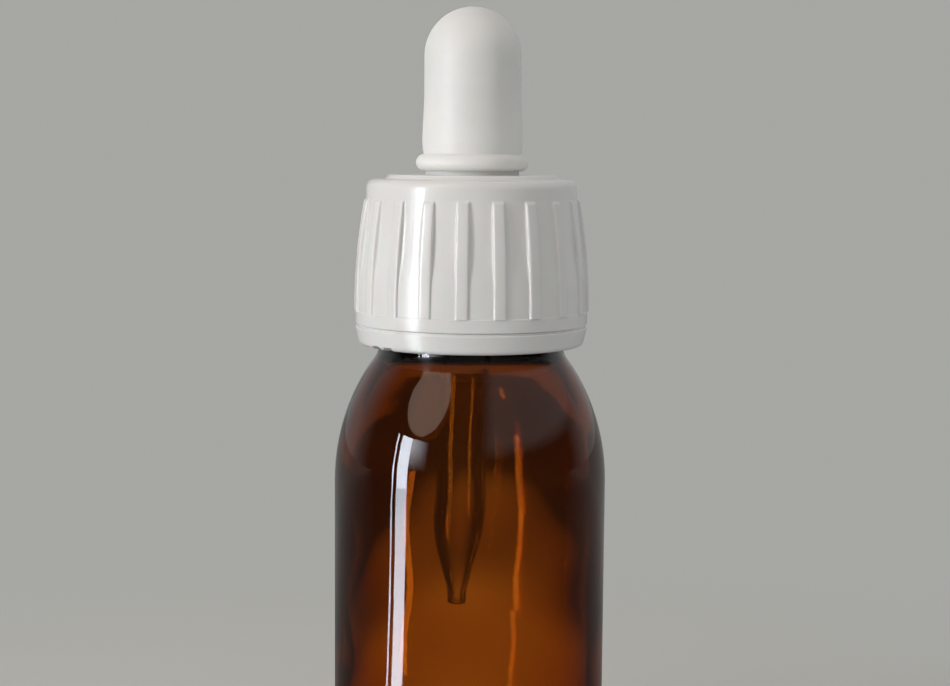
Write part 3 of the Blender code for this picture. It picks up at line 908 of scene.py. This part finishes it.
INNER_GLARE_NEAR_LIGHT = 15.0
GLARE_ROWS = ((GLARE_EDGE[0], GLARE_Z), (WINDOW_DISTANCE, GLARE_Z))
WINDOW_ROWS = ((WINDOW_DISTANCE, GLARE_Z), (WINDOW_DISTANCE, WINDOW_TOP_Z))
WING_ROWS = ((WINDOW_DISTANCE, WING_LOW_Z), (WINDOW_DISTANCE, WINDOW_TOP_Z))
THROUGH_ROWS = ((0.10, GLARE_Z), (1.2, GLARE_Z))
THROUGH_NEAR_ROWS = ((0.04, GLARE_Z), (0.04, 0.016))


def floor_material():
    """Pale, with the object's shadow. The camera sees it turn into the even background, which also lights the
    object from below. Shiny surfaces mirror a painted glow on it, pale only behind the object and dark in
    front. The glass looks through to a painted pool of light, then a stretch of painted shade behind the
    object, then the background."""
    nodes = Nodes("stage_floor")
    nodes.set(Base_Color=(*FLOOR_COLOUR, 1.0), Roughness=0.8, Specular_IOR_Level=0.0)
    sight = nodes.sight()
    axes = nodes.axes(nodes.place())
    far = nodes.spread(nodes.distance(), 0.0, 1.0, *GLOW_EDGE)
    seen = nodes.math("MULTIPLY", far, sight["Is Camera Ray"])
    # Painted reflection: to shiny surfaces the floor glows pale behind the object and dark in front.
    behind = nodes.spread(axes["Y"], MIRROR_DARK, MIRROR_PALE, *MIRROR_EDGE)
    # Painted pool of light, then painted shade, that the glass sees on the floor.
    pool = nodes.spread(nodes.distance((POOL_SQUEEZE, 1.0, 1.0)), POOL_LIGHT, POOL_DARK, *POOL_EDGE)
    pool = nodes.math("MAXIMUM", pool, nodes.spread(nodes.distance(), 0.0, 1.0, *DARK_EDGE))
    pool = nodes.math("MAXIMUM", pool, nodes.spread(axes["Y"], 1.0, 0.0, *FRONT_EDGE))
    surface = nodes.blend(seen, nodes.shader.outputs["BSDF"], nodes.glow(BACKGROUND))
    surface = nodes.blend(sight["Is Glossy Ray"], surface, nodes.glow(BACKGROUND, behind))
    surface = nodes.blend(sight["Is Transmission Ray"], surface, nodes.glow(BACKGROUND, pool))
    surface = nodes.blend(sight["Is Diffuse Ray"], surface, nodes.glow(BACKGROUND))
    nodes.show(surface)
    return nodes.material


def build_floor():
    bpy.ops.mesh.primitive_circle_add(vertices=96, radius=FLOOR_RADIUS, fill_type="TRIFAN")
    floor = bpy.context.object
    floor.name = "stage_floor"
    floor.data.materials.append(floor_material())


def build_world():
    """An even background to the camera, and through the glass up to a dark ceiling, and a soft dome of light.
    Glossy surfaces mirror a pale room that is dark low down on the camera's side."""
    world = bpy.data.worlds.new("studio")
    bpy.context.scene.world = world
    nodes = Tree(world)
    axes = nodes.axes(nodes.add("ShaderNodeTexCoord").outputs["Generated"])
    sight = nodes.sight()
    behind = nodes.spread(axes["Y"], 0.0, 1.0, *ROOM_BEHIND)
    above = nodes.spread(axes["Z"], 0.0, 1.0, *ROOM_ABOVE)
    beside = nodes.spread(axes["X"], 0.0, 1.0, *ROOM_BESIDE)
    pale = nodes.math("MAXIMUM", behind, nodes.math("MULTIPLY", above, beside))
    dim, strong = SOFT_LIGHT * (1.0 - SOFT_TILT), SOFT_LIGHT * (1.0 + SOFT_TILT)
    soft = nodes.spread(axes["X"], dim, strong, -1.0, 1.0)
    soft = nodes.math("ADD", soft, nodes.spread(axes["Y"], FRONT_LIGHT, 0.0, -1.0, 0.0))
    room = nodes.spread(pale, ROOM_DARK, ROOM_LIGHT, 0.0, 1.0)
    through = nodes.spread(axes["Z"], 1.0, POOL_DARK, *CEILING_EDGE)
    light = nodes.light("ShaderNodeBackground", ROOM_COLOUR, soft)
    for kind, colour, strength in (
        ("Is Glossy Ray", ROOM_COLOUR, room),
        ("Is Transmission Ray", BACKGROUND, through),
        ("Is Camera Ray", BACKGROUND, 1.0),
    ):
        light = nodes.blend(sight[kind], light, nodes.light("ShaderNodeBackground", colour, strength))
    nodes.join(light, nodes.nodes["World Output"].inputs["Surface"])


def towards(turn, lift=0.0):
    """The direction that is turn degrees to the right of the camera's side, and lift degrees up."""
    plan = math.radians(-90.0 + turn)
    rise = math.radians(lift)
    return Vector((math.cos(plan) * math.cos(rise), math.sin(plan) * math.cos(rise), math.sin(rise)))


def add_softbox(name, turn, lift, distance, size, radiance, colour, shape="RECTANGLE"):
    """A flat lamp that faces the object."""
    lamp = bpy.data.lights.new(name, "AREA")
    lamp.shape = shape
    lamp.size, lamp.size_y = size
    lamp.energy = radiance * size[0] * size[1] * RADIANCE_TO_POWER
    lamp.color = colour
    obj = bpy.data.objects.new(name, lamp)
    direction = towards(turn, lift)
    obj.location = LIGHT_AIM + direction * distance
    obj.rotation_euler = (-direction).to_track_quat("-Z", "Y").to_euler()
    obj.visible_camera = False
    bpy.context.scene.collection.objects.link(obj)
    return obj


def add_panel(name, sides, rows, strength, nodes):
    """A bright strip that only the shiny surfaces and the glass show: along the floor or upright, between two
    directions."""
    nodes.show(nodes.glow(PANEL_COLOUR, strength))
    verts = [towards(turn) * r + Vector((0.0, 0.0, z)) for r, z in rows for turn in sides]
    mesh = bpy.data.meshes.new(name)
    mesh.from_pydata(verts, [], [(0, 1, 3, 2)])
    mesh.materials.append(nodes.material)
    panel = bpy.data.objects.new(name, mesh)
    panel.visible_camera = False
    panel.visible_diffuse = False
    panel.visible_shadow = False
    bpy.context.scene.collection.objects.link(panel)
    return panel


def add_window(name, sides):
    """The bright upright of a window and its glare along the floor, as the outer surfaces mirror them."""
    for part, rows, light in (("", WINDOW_ROWS, WINDOW_LIGHT), ("_glare", GLARE_ROWS, GLARE_LIGHT)):
        nodes = Nodes(name + part)
        strength = nodes.spread(nodes.distance(), *light, *GLARE_EDGE)
        panel = add_panel(name + part, sides, rows, strength, nodes)
        panel.visible_transmission = False


def add_wing(name, sides):
    """A dimmer pane beside the window, which fades away from it and downwards."""
    nodes = Nodes(name)
    axes = nodes.axes(nodes.place())
    edges = [towards(turn).x * WINDOW_DISTANCE for turn in sides]
    across = nodes.spread(axes["X"], WING_LIGHT, 0.0, *edges)
    upwards = nodes.spread(axes["Z"], 0.0, 1.0, WING_LOW_Z, WING_HIGH_Z)
    wing = add_panel(name, sides, WING_ROWS, nodes.math("MULTIPLY", across, upwards), nodes)
    wing.visible_transmission = False


def add_inner_glare(name, rows, strength):
    """What the walls inside and the pipette mirror of the window."""
    nodes = Nodes(name)
    even = nodes.spread(nodes.distance(), strength, strength)
    panel = add_panel(name, INNER_GLARE, rows, even, nodes)
    panel.visible_glossy = False


def build_lights():
    key = add_softbox("key_window", -58.0, 3.0, 0.60, (0.105, 0.40), 12.5, KEY_COLOUR)
    key.visible_glossy = False
    key.visible_transmission = False
    add_softbox("upper_left", -48.0, 41.0, 0.70, (0.44, 0.50), 1.05, CARD_COLOUR, "ELLIPSE")
    add_window("window", WINDOW)
    add_window("window_side", WINDOW_SIDE)
    add_wing("window_wing", WINDOW_WING)
    add_inner_glare("inner_glare", THROUGH_ROWS, INNER_GLARE_LIGHT)
    add_inner_glare("inner_glare_near", THROUGH_NEAR_ROWS, INNER_GLARE_NEAR_LIGHT)


def build_camera():
    camera = bpy.data.cameras.new("camera")
    camera.sensor_fit = "HORIZONTAL"
    camera.sensor_width = SENSOR_WIDTH
    camera.lens = LENS_PIXELS / PHOTO_WIDTH * SENSOR_WIDTH
    camera.clip_start = 5.0 * MM
    obj = bpy.data.objects.new("camera", camera)
    turn = Matrix.Rotation(math.pi / 2 + CAMERA_PITCH, 4, "X") @ Matrix.Rotation(CAMERA_ROLL, 4, "Z")
    obj.matrix_world = Matrix.Translation(CAMERA_PLACE) @ turn
    bpy.context.scene.collection.objects.link(obj)
    bpy.context.scene.camera = obj


build_bottle()
build_ring()
build_pipette()
build_cap()
build_bulb()
build_floor()
build_world()
build_lights()
build_camera()
bpy.context.scene.view_settings.view_transform = "Standard"
